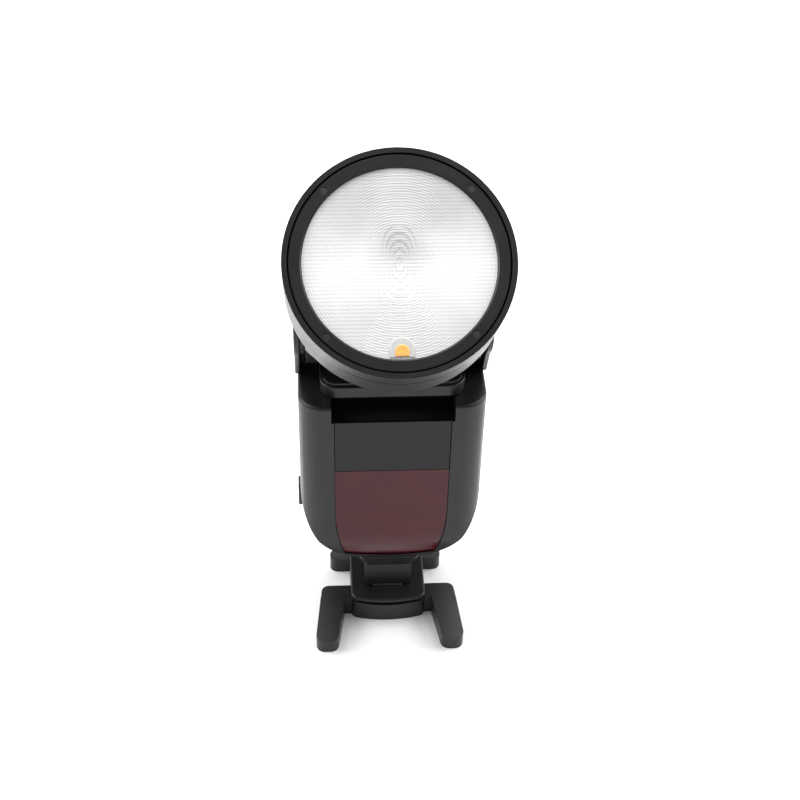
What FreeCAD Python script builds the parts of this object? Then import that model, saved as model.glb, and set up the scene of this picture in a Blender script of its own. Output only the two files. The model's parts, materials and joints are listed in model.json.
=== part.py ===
import FreeCAD, Part
import math
import os
import re

import Sketcher
from FreeCAD import Placement, Rotation, Vector

# A shoe-mount flash with a round tilting and swivelling head, standing in its mini stand.
# Millimetres, +Z up. The origin is the centre of the stand's underside, and the front faces -Y.
# The head's pieces are drawn pointing straight up, about an origin on the tilt axis, and are then
# tilted forward together: in that frame +Z is the light's direction and -Y is the head's underside.

SIZES = [
    # general
    ("wall", 2.2, "thickness of the body's casing"),
    ("gap", 0.3, "clearance between pieces that move past each other"),
    ("seam", 0.4, "clearance between pieces that turn on each other"),
    ("fit", 0.05, "radial clearance of a running fit"),
    # mini stand
    ("block_width", 30, "stand block, side to side"),
    ("block_length", 33.6, "stand block, front to back"),
    ("block_bow", 50, "radius of the stand block's curved front"),
    ("leg_reach", 32.8, "stand leg tips in front of the stand's centre"),
    ("leg_width", 9, "stand leg width"),
    ("leg_height", 9.5, "stand leg height at the elbow"),
    ("leg_tip_height", 6, "stand leg height at the tip"),
    ("elbow_out", 26.7, "outer corner of an elbow from the middle plane"),
    ("tip_out", 29.9, "outer corner of a leg tip from the middle plane"),
    ("arm_near", 6, "near side of the stand's arms from the centre"),
    ("arm_width", 7, "width of the stand's arms"),
    ("stub_near", 10.3, "near side of the stand's rear feet from the centre"),
    ("stub_out", 23.1, "outer end of a rear foot from the middle plane"),
    ("stub_height", 6.6, "rear foot height"),
    ("insert_bore", 2.6, "bore radius of the quarter-inch threaded insert"),
    ("insert_radius", 4.2, "outside of the threaded insert"),
    ("insert_length", 6, "length of the threaded insert"),
    ("floor_cover", 1.8, "plastic between the insert and the shoe's floor"),
    ("rail_thick", 1.8, "thickness of the shoe's rails"),
    # shoe and foot
    ("shoe_width", 18.6, "foot plate width"),
    ("shoe_length", 18, "foot plate length"),
    ("shoe_plate", 2, "foot plate thickness"),
    ("shoe_neck", 12.2, "foot width between the shoe's rails"),
    ("contact_radius", 0.75, "contact pin radius"),
    ("foot_core", 5.5, "foot's core inside the lock ring"),
    ("ring_rise", 5.8, "lock ring above the foot plate"),
    ("ring_height", 3, "lock ring height"),
    ("ring_radius", 8.2, "lock ring radius"),
    ("lever_half", 3, "half the width of the lock ring's lever"),
    ("lever_reach", 7, "lock ring's lever beyond the ring"),
    ("collar_rise", 5.5, "foot collar above the lock ring"),
    ("collar_height", 8.5, "foot collar height"),
    ("collar_low_half", 10.6, "half the width of the foot collar's underside"),
    ("collar_low_front", 11.8, "half the depth of the foot collar's underside"),
    ("collar_low_round", 13.9, "radius of the collar's corners at its underside"),
    ("collar_flare", 3.4, "how far each side of the collar spreads towards the body"),
    ("lock_pin_radius", 1.2, "lock pin radius"),
    ("lock_pin_side", 4.2, "lock pin from the middle plane"),
    ("lock_pin_front", 6.2, "lock pin from the foot's centre"),
    # body casing
    ("body_width", 68.5, "body, side to side"),
    ("body_front", 19, "front of the body from the stand's centre"),
    ("cover_deep", 10.3, "depth of the rear cover"),
    ("corner_radius", 9, "upright corners of the body"),
    ("side_curve", 40, "radius that draws the sides in towards the foot"),
    ("side_curve_rise", 35, "height over which the sides draw in"),
    ("front_curve", 40, "radius that draws the front back towards the foot"),
    ("front_curve_rise", 18, "height over which the front draws back"),
    ("back_curve", 12, "radius that draws the back in towards the foot"),
    ("rim_round", 1.2, "rounding of the shoulders' rim"),
    ("scoop_deep", 7.3, "depth of the scoop between the shoulders"),
    ("scoop_back", 6, "back of the scoop, forward of the stand's centre"),
    ("panel_half", 21.45, "half the width of the front insert"),
    ("panel_side", 0.95, "casing between the insert and the scoop's side"),
    ("window_height", 50.2, "top of the red window above the body's underside"),
    ("panel_rise", 1.2, "underside of the insert above the body's"),
    ("panel_curve", 90, "radius that narrows the insert downwards"),
    ("panel_belly", 56, "radius of the insert's lower edge"),
    ("panel_sink", 0.6, "depth of the insert's face below the casing"),
    ("panel_thick", 1.0, "thickness of the insert's pieces"),
    ("panel_gap", 0.15, "seam around the insert"),
    # battery and sockets
    ("battery_front", 6, "front of the battery behind the stand's centre"),
    ("battery_thick", 22, "thickness of the battery"),
    ("battery_rise", 20.2, "underside of the battery above the body's"),
    ("battery_height", 41.6, "height of the battery"),
    ("battery_short", 9, "body's side beyond the battery's inner end"),
    ("hub_room", 20.2, "height of the body above the battery"),
    ("bay_wall", 1.2, "wall of the battery bay"),
    ("contact_thick", 1.1, "thickness of the battery contacts"),
    ("port_deep", 1.75, "depth of the pocket for the port cover"),
    ("port_cover_thick", 1.7, "thickness of the port cover"),
    # swivel and yoke
    ("swivel_back", 10.9, "swivel axis behind the stand's centre"),
    ("hub_radius", 11, "swivel hub radius"),
    ("hub_bore", 7.5, "bore of the swivel hub, for the head's cable"),
    ("bearing_radius", 14, "swivel bearing radius in the casing"),
    ("bearing_height", 7, "height of the swivel bearing"),
    ("retainer_thick", 1.6, "thickness of the ring that holds the hub in its bearing"),
    ("plate_width", 52.4, "swivel plate, side to side"),
    ("plate_depth", 50, "swivel plate, front to back"),
    ("plate_corner", 6, "swivel plate corner radius"),
    ("plate_thick", 5.2, "swivel plate thickness"),
    ("floor_thick", 1.2, "thickness of the yoke's floor"),
    ("neck_clear", 0.8, "clearance between the turning neck and the yoke's floor"),
    ("cheek_gap", 0.5, "clearance between the head and the yoke's arms"),
    ("arm_thick", 1.5, "thickness of the yoke's arms"),
    ("cover_thick", 2.2, "thickness of the yoke covers"),
    ("cheek_leg", 22, "width of a yoke cheek at its foot"),
    ("cheek_radius", 19.5, "radius of a yoke cheek about the tilt axis"),
    ("pin_radius", 5, "tilt pin radius"),
    # head
    ("tilt_back", 5.9, "tilt axis behind the stand's centre"),
    ("head_tilt", 50, "light's direction above level, in degrees"),
    ("barrel_radius", 38, "head barrel radius"),
    ("barrel_back", 30.6, "back of the barrel from the tilt axis"),
    ("barrel_deep", 27.4, "length of the barrel"),
    ("neck_half", 31, "half the width of the head between the cheeks"),
    ("neck_radius", 21.4, "rear of the head about the tilt axis"),
    ("shell", 1.8, "thickness of the head's shells"),
    ("rim_wall", 2.1, "wall of the barrel around the bezel"),
    ("bezel_width", 4.3, "width of the bezel's face"),
    ("bezel_sink", 0.4, "depth of the bezel's face below the barrel's rim"),
    ("bezel_thick", 2.4, "thickness of the bezel"),
    ("lens_sink", 0.9, "depth of the lens below the bezel's face"),
    ("lens_flange", 2, "thickness of the lens flange"),
    ("seat_gap", 0.1, "clearance around the pieces seated in the barrel"),
    ("ring_thick", 1.3, "thickness of the accessory ring and the light frame's flange"),
    ("seat_width", 3.3, "width of the accessory ring"),
    ("frame_thick", 1.1, "thickness of the light frame's floor"),
    ("screw_inset", 2.1, "bezel screws from the barrel's inside"),
    ("screw_head", 1.22, "bezel screw head radius"),
    ("screw_shank", 0.8, "bezel screw shank radius"),
    ("slot_back", 10.6, "slot under the barrel, behind the head's front"),
    ("slot_wide", 0.7, "width of the slot under the barrel"),
    ("slot_half", 20.5, "half the length of the slot under the barrel"),
    # rear controls
    ("dial_radius", 10.6, "select dial radius"),
    ("dial_stem", 6.6, "select dial stem radius"),
    ("dial_bore", 5.2, "select dial bore radius"),
    ("lcd_half", 22.5, "half the width of the display window"),
    ("lcd_rise", 46.5, "underside of the display above the body's"),
    ("lcd_top", 9, "body's height above the display"),
    ("board_thick", 1.6, "thickness of a circuit board"),
    # lamp and zoom parts
    ("lamp_inset", 2.6, "centre of the modelling lamp from the edge of the lens"),
    ("lamp_half", 4.15, "half the width of the modelling lamp's window"),
    ("lamp_deep", 12, "face of the modelling lamp's chip behind the head's front"),
    ("reflector_deep", 18, "depth of the reflector"),
    ("reflector_inset", 21.7, "reflector's mouth from the barrel's side"),
    ("reflector_wall", 0.8, "thickness of the reflector"),
    ("reflector_set", 4.9, "back of the reflector behind the light frame's floor"),
    ("tube_radius", 2.6, "flash tube radius"),
    ("rod_spread", 18, "guide rods from the barrel's sides"),
    ("rod_drop", 17, "guide rods and lead screw from the barrel's top"),
    ("rod_radius", 1.5, "guide rod radius"),
    ("chassis_front", 8, "front of the head's chassis from the tilt axis"),
    ("motor_length", 6, "length of the zoom motor"),
]
SIZE = {alias: value for alias, value, meaning in SIZES}

# Places and sizes that follow from the sheet's
FOLLOWS = {
    "shoe_floor": "insert_length + floor_cover",
    "block_height": "shoe_floor + shoe_plate + seam + rail_thick",
    "arm_far": "arm_near + arm_width",
    "stub_far": "stub_near + arm_width",
    "sole": "shoe_floor + gap - 0.1",
    "foot_top": "block_height + rail_thick - 0.6",
    "foot_front": "-shoe_length / 2",
    "ring_low": "foot_top + ring_rise",
    "ring_high": "ring_low + ring_height",
    "collar_low": "ring_high + collar_rise",
    "body_low": "collar_low + collar_height",
    "side_curve_start": "body_low + side_curve_rise",
    "front_curve_start": "body_low + front_curve_rise",
    "panel_low": "body_low + panel_rise",
    "panel_split": "body_low + window_height",
    "panel_curve_start": "body_low + 30",
    "battery_back": "battery_front + battery_thick",
    "battery_low": "body_low + battery_rise",
    "battery_high": "battery_low + battery_height",
    "battery_end": "body_width / 2 - battery_short",
    "contact_end": "battery_end + gap + contact_thick",
    "body_high": "battery_high + hub_room",
    "split_back": "battery_back + 2 * gap",
    "body_back": "split_back + cover_deep",
    "scoop_low": "body_high - scoop_deep",
    "scoop_half": "panel_half + panel_side",
    "lcd_low": "body_low + lcd_rise",
    "lcd_high": "body_high - lcd_top",
    "latch_low": "battery_low + 2.3",
    "latch_high": "battery_low + 12.8",
    "port_low": "body_low + 31",
    "port_high": "body_low + 55",
    "bearing_high": "body_high - 0.2",
    "bearing_low": "bearing_high - bearing_height",
    "retainer_high": "bearing_low - retainer_thick",
    "retainer_low": "retainer_high - retainer_thick",
    "plate_low": "body_high + seam",
    "plate_high": "plate_low + plate_thick",
    "lip_high": "plate_high + floor_thick",
    "tilt_high": "lip_high + neck_radius + neck_clear",
    "yoke_inner": "neck_half + cheek_gap",
    "yoke_outer": "yoke_inner + arm_thick",
    "cover_outer": "yoke_outer + cover_thick",
    "head_front": "barrel_back + barrel_deep",
    "rim_inner": "barrel_radius - rim_wall",
    "seat_radius": "rim_inner - seat_gap",
    "bezel_inner": "rim_inner - bezel_width",
    "bezel_front": "head_front - bezel_sink",
    "bezel_back": "bezel_front - bezel_thick",
    "lens_front": "bezel_front - lens_sink",
    "flange_back": "bezel_back - lens_flange",
    "ring_back": "flange_back - ring_thick",
    "frame_radius": "rim_inner - seat_width",
    "frame_back": "barrel_back + shell + 0.5",
    "screw_circle": "rim_inner - screw_inset",
    "lamp_down": "bezel_inner - lamp_inset",
    "lamp_face": "head_front - lamp_deep",
    "vertex": "frame_back - reflector_set",
    "rod_side": "barrel_radius - rod_spread",
    "rod_up": "barrel_radius - rod_drop",
    "reflector_mouth": "barrel_radius - reflector_inset",
    "mouth_outer": "reflector_mouth + reflector_wall",
    "reflector_half": "sqrt(frame_radius ^ 2 - mouth_outer ^ 2) - 0.26",
}

doc = FreeCAD.newDocument("speedlight")
sheet = doc.addObject("Spreadsheet::Sheet", "Sizes")
for row, (alias, value, meaning) in enumerate(SIZES, start=1):
    sheet.set(f"A{row}", meaning)
    sheet.set(f"B{row}", str(value))
    sheet.setAlias(f"B{row}", alias)
doc.recompute()

NAMES = re.compile(r"\b(" + "|".join([*SIZE, *FOLLOWS]) + r")\b")
pieces = []


def formula(text):
    """The expression that reads each named size from the sheet."""
    def read(found):
        name = found.group(1)
        return f"Sizes.{name}" if name in SIZE else f"({formula(FOLLOWS[name])})"
    return NAMES.sub(read, str(text))


def bind(thing, prop, text):
    thing.setExpression(prop, formula(text))


def place(thing, x=0, y=0, z=0):
    for axis, text in zip("xyz", (x, y, z)):
        bind(thing, f"Placement.Base.{axis}", text)


def finish(name, solid):
    """Give a finished sub-part its name and put it on the list to write."""
    solid.Label = name
    pieces.append(solid)
    return solid


def finish_in_head(name, *solids):
    """The same for a piece of the head, tilted forward about the tilt axis."""
    for solid in solids:
        solid.Label = f"{solid.Label} pointing up"
    held = group(name, *solids)
    held.Placement = Placement(Vector(0, 0, 0), Rotation(Vector(1, 0, 0), 90 - SIZE["head_tilt"]))
    bind(held, "Placement.Rotation.Angle", "90 - head_tilt")
    place(held, 0, "tilt_back", "tilt_high")
    return finish(name, held)


# Part primitives and booleans


def box(name, x, y, z):
    """A box between a (low, high) pair of formulas along each axis."""
    solid = doc.addObject("Part::Box", name)
    for prop, (low, high) in zip(("Length", "Width", "Height"), (x, y, z)):
        bind(solid, prop, f"({high}) - ({low})")
    place(solid, x[0], y[0], z[0])
    return solid


TURNS = {
    "Z": Rotation(),
    "X": Rotation(Vector(0, 1, 0), 90),
    "Y": Rotation(Vector(1, 0, 0), -90),
}


def cylinder(name, radius, span, centre=(0, 0), along="Z"):
    """A cylinder over a span of one axis, centred in the other two, given in X, Y, Z order."""
    solid = doc.addObject("Part::Cylinder", name)
    solid.Placement = Placement(Vector(0, 0, 0), TURNS[along])
    bind(solid, "Radius", radius)
    bind(solid, "Height", f"({span[1]}) - ({span[0]})")
    start = list(centre)
    start.insert("XYZ".index(along), span[0])
    place(solid, *start)
    return solid


def fuse(name, *solids):
    joined = doc.addObject("Part::MultiFuse", name)
    joined.Shapes = list(solids)
    return joined


def cut(name, base, *tools):
    result = doc.addObject("Part::Cut", name)
    result.Base = base
    result.Tool = tools[0] if len(tools) == 1 else fuse(name + "_tools", *tools)
    return result


def common(name, *solids):
    shared = doc.addObject("Part::MultiCommon", name)
    shared.Shapes = list(solids)
    return shared


def group(name, *solids):
    """Separate solids that share one node."""
    held = doc.addObject("Part::Compound", name)
    held.Links = list(solids)
    return held


# PartDesign bodies


def new_body(name):
    return doc.addObject("PartDesign::Body", name)


def new_sketch(body, role, offset=0):
    sketch = body.newObject("Sketcher::SketchObject", body.Name + "_sketch")
    base = next(item for item in body.Origin.OriginFeatures if item.Role == role)
    sketch.AttachmentSupport = [(base, "")]
    sketch.MapMode = "FlatFace"
    bind(sketch, "AttachmentOffset.Base.z", offset)
    return sketch


def fix(sketch, kind, item, point, text, start):
    """A named constraint on a point or a radius, bound to a formula."""
    parts = (item, start) if kind == "Radius" else (-1, 1, item, point, start)
    index = sketch.addConstraint(Sketcher.Constraint(kind, *parts))
    label = f"{kind}_{item}_{point}"
    sketch.renameConstraint(index, label)
    bind(sketch, f"Constraints.{label}", text)


def add_polygon(sketch, corners):
    """A closed outline of straight lines, with each corner's place bound to formulas."""
    first = sketch.GeometryCount
    count = len(corners)
    turn = 2 * math.pi / count
    start = [Vector(math.cos(turn * i), math.sin(turn * i), 0) for i in range(count)]
    for i in range(count):
        sketch.addGeometry(Part.LineSegment(start[i], start[(i + 1) % count]), False)
    for i in range(count):
        joint = Sketcher.Constraint("Coincident", first + i, 2, first + (i + 1) % count, 1)
        sketch.addConstraint(joint)
    for i, (x, y) in enumerate(corners):
        fix(sketch, "DistanceX", first + i, 1, x, start[i].x)
        fix(sketch, "DistanceY", first + i, 1, y, start[i].y)


def add_circle(sketch, radius, centre=(0, 0)):
    item = sketch.addGeometry(Part.Circle(Vector(1, 1, 0), Vector(0, 0, 1), 1), False)
    fix(sketch, "DistanceX", item, 3, centre[0], 1)
    fix(sketch, "DistanceY", item, 3, centre[1], 1)
    fix(sketch, "Radius", item, 0, radius, 1)


def extrude(body, kind, sketch, length, reverse=False):
    """A PartDesign Pad or Pocket."""
    feature = body.newObject("PartDesign::" + kind, f"{body.Name}_{kind}")
    feature.Profile = sketch
    feature.Reversed = reverse
    bind(feature, "Length", length)
    return feature


def soften(body, kind, size, chosen):
    """A PartDesign Fillet or Chamfer on the body's edges that a test picks, given the body's bounds."""
    doc.recompute()
    base = body.Tip
    bounds = base.Shape.BoundBox
    names = [f"Edge{i}" for i, edge in enumerate(base.Shape.Edges, 1) if chosen(edge, bounds)]
    feature = body.newObject("PartDesign::" + kind, f"{body.Name}_{kind}")
    feature.Base = (base, names)
    bind(feature, "Radius" if kind == "Fillet" else "Size", size)
    return feature


def prism(name, role, corners, start, length, reverse=False):
    """A body that is one outline pushed out from a plane."""
    body = new_body(name)
    sketch = new_sketch(body, role, start)
    add_polygon(sketch, corners)
    extrude(body, "Pad", sketch, length, reverse)
    return body


def turned(name, corners, back=0):
    """A body that is one (radius, height) outline turned about an upright axis."""
    body = new_body(name)
    sketch = new_sketch(body, "XZ_Plane")
    add_polygon(sketch, corners)
    feature = body.newObject("PartDesign::Revolution", name + "_turn")
    feature.Profile = sketch
    feature.ReferenceAxis = (sketch, ["V_Axis"])
    feature.Angle = 360
    place(body, 0, back)
    return body


def ring(name, inner, outer, low, high, back=0):
    return turned(name, [(inner, low), (outer, low), (outer, high), (inner, high)], back)


def rectangle(half_x, low_y, high_y):
    return [(f"-({half_x})", low_y), (half_x, low_y), (half_x, high_y), (f"-({half_x})", high_y)]


def is_upright(edge, bounds):
    return abs(edge.tangentAt(edge.FirstParameter).z) > 0.99 and edge.Length > 1


def is_at_top(edge, bounds):
    return all(abs(vertex.Z - bounds.ZMax) < 0.01 for vertex in edge.Vertexes)


def is_at_bottom(edge, bounds):
    return all(abs(vertex.Z - bounds.ZMin) < 0.01 for vertex in edge.Vertexes)


# Mini stand


def is_at_leg_tip(edge, bounds):
    return is_upright(edge, bounds) and edge.Vertexes[0].Y < bounds.YMin + 1


def is_at_elbow(edge, bounds):
    outer = abs(edge.Vertexes[0].X) > SIZE["elbow_out"] - 1
    return outer and is_upright(edge, bounds) and edge.Vertexes[0].Y > bounds.YMin / 2


def is_at_stub_end(edge, bounds):
    outer = abs(abs(edge.Vertexes[0].X) - SIZE["stub_out"]) < 0.5
    return outer and is_upright(edge, bounds) and edge.Vertexes[0].Y > 0


def make_stand():
    body = new_body("stand")
    sketch = new_sketch(body, "XY_Plane")
    add_polygon(sketch, rectangle("block_width / 2", "-block_length / 2", "block_length / 2"))
    extrude(body, "Pad", sketch, "block_height")
    bow = new_sketch(body, "XY_Plane", "block_height")
    for reach in ("block_bow", "block_bow + block_width"):
        add_circle(bow, reach, (0, "block_bow - block_length / 2"))
    extrude(body, "Pocket", bow, "block_height")
    soften(body, "Fillet", 3, is_upright)
    soften(body, "Fillet", 0.8, is_at_top)
    arm_root = "block_width / 2 - 2"
    legs = new_sketch(body, "XY_Plane")
    for side in (1, -1):
        add_polygon(legs, [(f"{side} * ({x})", f"-({y})") for x, y in (
            (arm_root, "arm_near"),
            ("elbow_out", "arm_near"),
            ("tip_out", "leg_reach"),
            ("tip_out - leg_width", "leg_reach"),
            ("elbow_out - leg_width", "arm_far"),
            (arm_root, "arm_far"),
        )])
    extrude(body, "Pad", legs, "leg_height")
    soften(body, "Fillet", 3.4, is_at_leg_tip)
    soften(body, "Fillet", 3, is_at_elbow)
    stubs = new_sketch(body, "XY_Plane")
    for side in (1, -1):
        add_polygon(stubs, [(f"{side} * ({x})", y) for x, y in (
            (arm_root, "stub_near"), ("stub_out", "stub_near"),
            ("stub_out", "stub_far"), (arm_root, "stub_far"),
        )])
    extrude(body, "Pad", stubs, "stub_height")
    soften(body, "Fillet", "arm_width * 0.45", is_at_stub_end)
    slopes = new_sketch(body, "YZ_Plane", "-tip_out - 1")
    add_polygon(slopes, [
        ("-arm_far", "leg_height"),
        ("-(leg_reach + 1)", "leg_tip_height"),
        ("-(leg_reach + 1)", "leg_height + 1"),
        ("-arm_far", "leg_height + 1"),
    ])
    extrude(body, "Pocket", slopes, "2 * tip_out + 2", reverse=True)
    stop = "-(foot_front - gap)"
    shoe = new_sketch(body, "XZ_Plane", stop)
    rail = "shoe_floor + shoe_plate + seam"
    slot_half = "shoe_width / 2 + gap / 2"
    mouth_half = "shoe_neck / 2 + gap / 2"
    add_polygon(shoe, [
        (f"-({slot_half})", "shoe_floor"), (slot_half, "shoe_floor"),
        (slot_half, rail), (mouth_half, rail),
        (mouth_half, "block_height + 1"), (f"-({mouth_half})", "block_height + 1"),
        (f"-({mouth_half})", rail), (f"-({slot_half})", rail),
    ])
    extrude(body, "Pocket", shoe, "block_length + 1")
    relief = new_sketch(body, "XZ_Plane", stop)
    add_polygon(relief, rectangle("shoe_width / 2 - 2.3", "shoe_floor - 1.2", "shoe_floor + 0.1"))
    extrude(body, "Pocket", relief, "block_length + 1")
    socket = new_sketch(body, "XY_Plane")
    add_circle(socket, "insert_radius")
    extrude(body, "Pocket", socket, "insert_length", reverse=True)
    finish("stand_base", body)
    finish("thread_insert", ring("insert", "insert_bore", "insert_radius", 0, "insert_length"))


# Foot, with its contacts and its lock: (across, back) of each contact from the foot's centre

CONTACTS = [(0, 1.5), (-2.8, -1.3), (2.8, -1.3), (-2.8, 4.3), (2.8, 4.3)]


def make_foot():
    length = ("foot_front", "-foot_front")
    plate = box("plate", ("-shoe_width / 2", "shoe_width / 2"), length, ("sole", "sole + shoe_plate"))
    neck = box("neck", ("-shoe_neck / 2", "shoe_neck / 2"), length, ("sole + shoe_plate", "foot_top"))
    holes = [cylinder(f"contact_hole_{i}", "contact_radius", ("shoe_floor", "foot_top"), at)
             for i, at in enumerate(CONTACTS)]
    pin_at = ("-lock_pin_side", "-lock_pin_front")
    pin_hole = cylinder("pin_hole", "lock_pin_radius + 0.1", ("shoe_floor", "foot_top"), pin_at)
    finish("foot_plate", cut("foot_plate", fuse("foot", plate, neck), pin_hole, *holes))
    pins = [cylinder(f"contact_{i}", "contact_radius", ("shoe_floor + 0.05", "foot_top"), at)
            for i, at in enumerate(CONTACTS)]
    finish("contact_pins", group("contact_pins", *pins))

    lock_level = ("ring_low - gap", "ring_high + gap")
    room = fuse("lock_room", cylinder("ring_room", "ring_radius + gap", lock_level),
                box("lever_way", ("-shoe_width", "lever_half + 2 * gap"), ("shoe_length / 6", "shoe_length"),
                    lock_level))
    block = box("foot_block", ("-shoe_width / 2", "shoe_width / 2"), length, ("foot_top", "collar_low"))
    pin_bore = cylinder("pin_bore", "lock_pin_radius + 0.1", ("foot_top - 1", "ring_low"), pin_at)
    finish("foot_housing", cut("foot_housing", block, pin_bore,
                               cut("round_the_core", room, cylinder("lock_core", "foot_core", lock_level))))
    finish("lock_pin", cylinder("lock_pin", "lock_pin_radius", ("sole + 0.2", "ring_low - gap"), pin_at))
    band = ring("band", "foot_core + gap", "ring_radius", "ring_low", "ring_high")
    lever = box("lever", ("-lever_half", "lever_half"), ("foot_core + 1", "ring_radius + lever_reach"),
                ("ring_low", "ring_high"))
    finish("lock_ring", fuse("lock_ring", band, lever))

    across = prism("collar_sides", "XZ_Plane", [
        ("-collar_low_half", "collar_low"), ("collar_low_half", "collar_low"),
        ("collar_low_half + collar_flare", "body_low"), ("-collar_low_half - collar_flare", "body_low"),
    ], "body_front", "2 * body_front", reverse=True)
    along = prism("collar_ends", "YZ_Plane", [
        ("-collar_low_front", "collar_low"), ("collar_low_front", "collar_low"),
        ("collar_low_front + collar_flare", "body_low"), ("-collar_low_front - collar_flare", "body_low"),
    ], "-body_front", "2 * body_front")
    cone = turned("collar_corners", [
        (0, "collar_low"), ("collar_low_round", "collar_low"),
        ("collar_low_round + 1.4 * collar_flare", "body_low"), (0, "body_low"),
    ])
    finish("foot_collar", common("foot_collar", across, along, cone))


# Body casing


def corner_tool(name, along, side, edge, curve, start, inset):
    """What an arc cuts from a lower corner: the block outside a cylinder that is tangent to the edge."""
    middle = f"{side} * ({edge} - {curve})"
    outside = f"{side} * ({edge} + 2)"
    across = (middle, outside) if side > 0 else (outside, middle)
    depth = ("-body_width", "body_width")
    height = ("body_low - 2", start)
    if along == "Y":
        block = box(name + "_block", across, depth, height)
    else:
        block = box(name + "_block", depth, across, height)
    return cut(name, block, cylinder(
        name + "_round", f"{curve} - {inset}", depth, (middle, start), along))


def casing_block(name, inset=0, rim=None):
    """The body's outer form, or the same form set in by a distance."""
    body = new_body(name + "_block")
    sketch = new_sketch(body, "XY_Plane", f"body_low + {inset}")
    add_polygon(sketch, rectangle(
        f"body_width / 2 - {inset}", f"-body_front + {inset}", f"body_back - {inset}"))
    extrude(body, "Pad", sketch, f"body_high - body_low - 2 * {inset}")
    soften(body, "Fillet", f"corner_radius - {inset}", is_upright)
    if rim:
        soften(body, "Fillet", rim, is_at_top)
    half = "body_width / 2"
    return cut(
        name, body,
        corner_tool(name + "_right", "Y", 1, half, "side_curve", "side_curve_start", inset),
        corner_tool(name + "_left", "Y", -1, half, "side_curve", "side_curve_start", inset),
        corner_tool(name + "_front", "X", -1, "body_front", "front_curve", "front_curve_start", inset),
        corner_tool(name + "_back", "X", 1, "body_back", "back_curve", "body_low + back_curve", inset),
    )


def insert_block(name, edge):
    """The outline of the front insert, pushed through the front of the body."""
    depth = ("-body_front - 1", "-body_front + 12")
    half = f"panel_half - {edge}"
    block = box(name + "_block", (f"-({half})", half), depth, (f"panel_low + {edge}", f"scoop_low - {edge}"))
    belly = cylinder(name + "_belly", f"panel_belly - {edge}", depth, (0, "panel_low + panel_belly"), "Y")
    return cut(
        name, common(name + "_bellied", block, belly),
        corner_tool(name + "_right", "Y", 1, "panel_half", "panel_curve", "panel_curve_start", edge),
        corner_tool(name + "_left", "Y", -1, "panel_half", "panel_curve", "panel_curve_start", edge),
    )


def skin(name, outer_inset, inner_inset, *limits):
    """A layer of the body's outer form between two insets, kept only inside the limits."""
    layer = cut(name + "_layer", casing_block(name + "_out", outer_inset),
                casing_block(name + "_in", inner_inset))
    return common(name, layer, *limits)


EVERYWHERE = ("-body_width", "body_width")
BATTERY_Y = ("battery_front - gap", "battery_back + gap")
BATTERY_Z = ("battery_low - gap", "battery_high + gap")
LATCH_Y = (-7.5, -2)
PORT_Y = (-9, 3)
PORT_Z = ("port_low", "port_high")
SOCKET_Y = -3
USB_Z = ("port_low + 3", "port_low + 12.4")
JACK_AT = (SOCKET_Y, "port_low + 18")


CONTROL_BOARD_Y = ("split_back + 1.4", "split_back + 1.4 + board_thick")


def wider(span, extra):
    """A span moved out at both ends."""
    return f"({span[0]}) - ({extra})", f"({span[1]}) + ({extra})"


def make_casing():
    outer = casing_block("outer", 0, "rim_round")
    hollow = casing_block("hollow", "wall")
    scoop = box("scoop", ("-scoop_half", "scoop_half"), ("-body_front - 1", "-scoop_back"),
                ("scoop_low", "body_high + 1"))
    scoop_floor = box("scoop_floor", ("-scoop_half - wall", "scoop_half + wall"),
                      ("-body_front - 1", "-scoop_back + wall"), ("scoop_low - wall", "body_high + 1"))
    front = box("front_part", EVERYWHERE, ("-body_width", "split_back"), (0, "body_high + 5"))
    back = box("back_part", EVERYWHERE, ("split_back", "body_width"), (0, "body_high + 5"))
    insert_room = common("insert_room", insert_block("insert_hole", 0), cut(
        "insert_depth", casing_block("insert_out", 0),
        casing_block("insert_in", "(panel_sink + panel_thick)")))
    left_side = ("-body_width", "-body_width / 2 + 8")
    right_side = ("body_width / 2 - 5", "body_width")
    tools = [
        cut("inside", hollow, scoop_floor), scoop, insert_room,
        box("window_hole", ("-panel_half + 5.5", "panel_half - 5.5"), ("-body_front - 1", "-body_front + 4"),
            ("body_low + 10", "panel_split - 6.2")),
        cylinder("hub_hole", "bearing_radius", ("body_high - 5", "body_high + 1"), (0, "swivel_back")),
        box("battery_hole", left_side, BATTERY_Y, BATTERY_Z),
        box("latch_hole", left_side, wider(LATCH_Y, "gap"), wider(("latch_low", "latch_high"), "gap")),
        box("port_hole", ("body_width / 2 - port_deep", "body_width"), PORT_Y, PORT_Z),
        box("usb_hole", right_side, wider((SOCKET_Y, SOCKET_Y), 1.7), USB_Z),
        cylinder("jack_hole", 3.2, right_side, JACK_AT, "X"),
    ]
    finish("casing", common("casing", cut("casing_cut", outer, *tools), front))

    through = ("split_back", "body_back + 1")
    cover_tools = [
        casing_block("cover_hollow", "wall"),
        box("lcd_hole", ("-lcd_half", "lcd_half"), through, ("lcd_low", "lcd_high")),
        cylinder("dial_hole", "dial_stem + gap", through, DIAL_AT, "Y"),
        cylinder("dial_room", "dial_radius + gap", ("body_back - 1.2", "body_back + 1"), DIAL_AT, "Y"),
    ]
    cover_tools += [control_hole(name) for name in CONTROLS]
    cover_form = common("cover_form", casing_block("cover_outer", 0, "rim_round"), back)
    finish("rear_cover", cut("rear_cover", cover_form, *cover_tools))

    panel_top = box("panel_top", EVERYWHERE, ("-body_width", 0), ("panel_split + panel_gap", "body_high"))
    panel_low = box("panel_low_part", EVERYWHERE, ("-body_width", 0), (0, "panel_split"))
    depth = ("panel_sink", "(panel_sink + panel_thick)")
    panel_edge = insert_block("panel_edge", "panel_gap")
    finish("front_panel", skin("front_panel", *depth, panel_edge, panel_top))
    window_edge = insert_block("window_edge", "panel_gap")
    finish("sensor_window", skin("sensor_window", *depth, window_edge, panel_low))


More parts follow.
